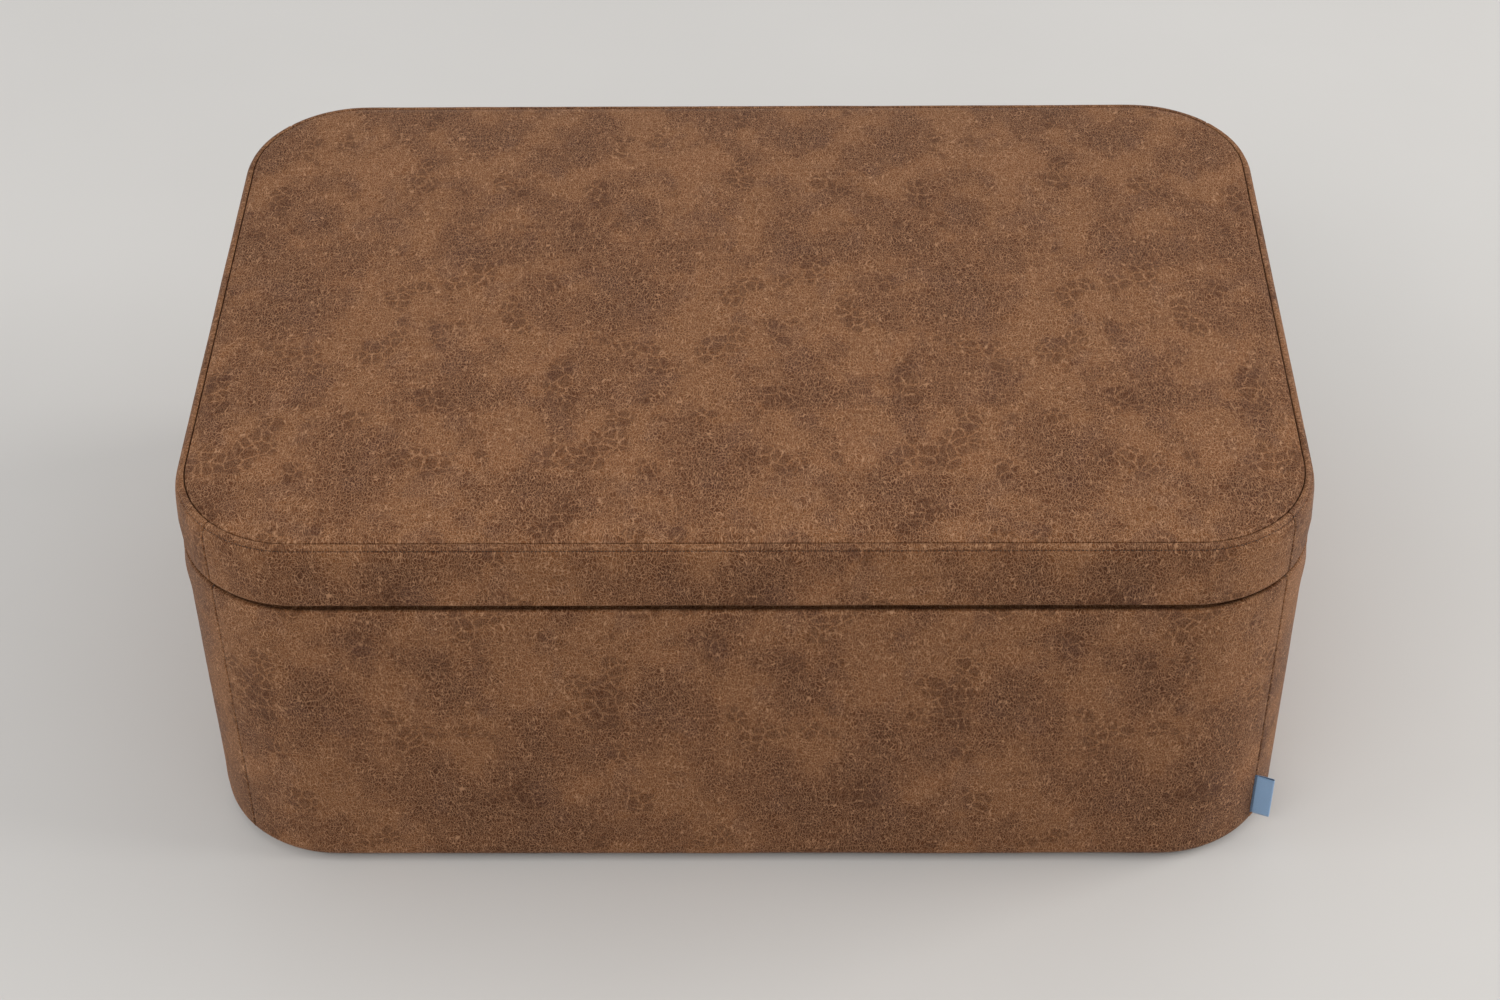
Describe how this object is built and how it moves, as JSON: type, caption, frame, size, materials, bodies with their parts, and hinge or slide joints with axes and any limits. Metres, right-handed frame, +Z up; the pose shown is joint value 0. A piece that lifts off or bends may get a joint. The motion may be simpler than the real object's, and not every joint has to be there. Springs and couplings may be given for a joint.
{
  "type": "storage ottoman",
  "caption": "Upholstered rectangular ottoman with rounded corners and a padded lid, hinged at the back over a lined storage box and carried by gas struts.",
  "frame": {"origin": "centre of the whole object's outline, on the floor under the feet", "axes": "+X to the right along the width, +Y to the back where the lid is hinged, +Z up"},
  "size_m": [0.92, 0.6212, 0.377],
  "materials": {
    "brown_leather": "satin",
    "foam": "matte",
    "plywood": "matte",
    "lining_cloth": "matte",
    "dust_cloth": "matte",
    "zinc_steel": "satin",
    "black_steel": "satin",
    "chromed_rod": "polished",
    "rubber": "matte",
    "black_plastic": "matte",
    "blue_tape": "matte"
  },
  "bodies": {
    "base": {"base_board": "plywood", "front_panel": "plywood", "back_panel": "plywood", "left_panel": "plywood", "right_panel": "plywood", "corner_post_back_right": "plywood", "corner_post_back_left": "plywood", "corner_post_front_left": "plywood", "corner_post_front_right": "plywood", "body_foam": "foam", "storage_lining": "lining_cloth", "floor_lining": "lining_cloth", "dust_cover": "dust_cloth", "cover_front": "brown_leather", "cover_back": "brown_leather", "cover_left": "brown_leather", "cover_right": "brown_leather", "side_label": "blue_tape", "foot_front_left": "black_plastic", "foot_front_right": "black_plastic", "foot_back_left": "black_plastic", "foot_back_right": "black_plastic", "rim_bumper_left": "rubber", "rim_bumper_right": "rubber", "hinge_leaf_base_left": "zinc_steel", "hinge_leaf_base_right": "zinc_steel", "hinge_pin_left": "zinc_steel", "hinge_pin_right": "zinc_steel", "base_screw_left_1": "zinc_steel", "base_screw_left_2": "zinc_steel", "base_screw_right_1": "zinc_steel", "base_screw_right_2": "zinc_steel", "strut_bracket_base_left": "zinc_steel", "strut_bracket_base_right": "zinc_steel"},
    "lid": {"lid_board": "plywood", "lid_foam": "foam", "lid_cover_top": "brown_leather", "lid_border_front": "brown_leather", "lid_border_back": "brown_leather", "lid_border_left": "brown_leather", "lid_border_right": "brown_leather", "lid_underside_lining": "lining_cloth", "hinge_leaf_lid_left": "zinc_steel", "hinge_leaf_lid_right": "zinc_steel", "lid_screw_left_1": "zinc_steel", "lid_screw_left_2": "zinc_steel", "lid_screw_right_1": "zinc_steel", "lid_screw_right_2": "zinc_steel", "strut_bracket_lid_left": "zinc_steel", "strut_bracket_lid_right": "zinc_steel"},
    "strut_tube_left": {"strut_tube_left": "black_steel", "strut_tube_eye_left": "black_plastic"},
    "strut_rod_left": {"strut_rod_left": "chromed_rod", "strut_piston_left": "black_plastic", "strut_rod_eye_left": "black_plastic"},
    "strut_tube_right": {"strut_tube_right": "black_steel", "strut_tube_eye_right": "black_plastic"},
    "strut_rod_right": {"strut_rod_right": "chromed_rod", "strut_piston_right": "black_plastic", "strut_rod_eye_right": "black_plastic"}
  },
  "joints": [
    {"name": "lid_hinge", "type": "hinge", "parent": "base", "child": "lid", "pos_m": [0, 0.3074, 0.3015], "axis": [-1, 0, 0], "range_deg": [0, 70]},
    {"name": "strut_tube_pivot_left", "type": "hinge", "parent": "base", "child": "strut_tube_left", "pos_m": [-0.4, 0.1904, 0.07493], "axis": [-1, 0, 0], "range_deg": [0, 35]},
    {"name": "strut_rod_pivot_left", "type": "hinge", "parent": "lid", "child": "strut_rod_left", "pos_m": [-0.4, 0.05268, 0.2895], "axis": [-1, 0, 0], "range_deg": [-35, 0]},
    {"name": "strut_tube_pivot_right", "type": "hinge", "parent": "base", "child": "strut_tube_right", "pos_m": [0.4, 0.1904, 0.07493], "axis": [-1, 0, 0], "range_deg": [0, 35]},
    {"name": "strut_rod_pivot_right", "type": "hinge", "parent": "lid", "child": "strut_rod_right", "pos_m": [0.4, 0.05268, 0.2895], "axis": [-1, 0, 0], "range_deg": [-35, 0]}
  ],
  "couplings": [
    {"joint": "strut_tube_pivot_left", "follows": "lid_hinge", "ratio": 0.5},
    {"joint": "strut_rod_pivot_left", "follows": "lid_hinge", "ratio": -0.5},
    {"joint": "strut_tube_pivot_right", "follows": "lid_hinge", "ratio": 0.5},
    {"joint": "strut_rod_pivot_right", "follows": "lid_hinge", "ratio": -0.5}
  ]
}
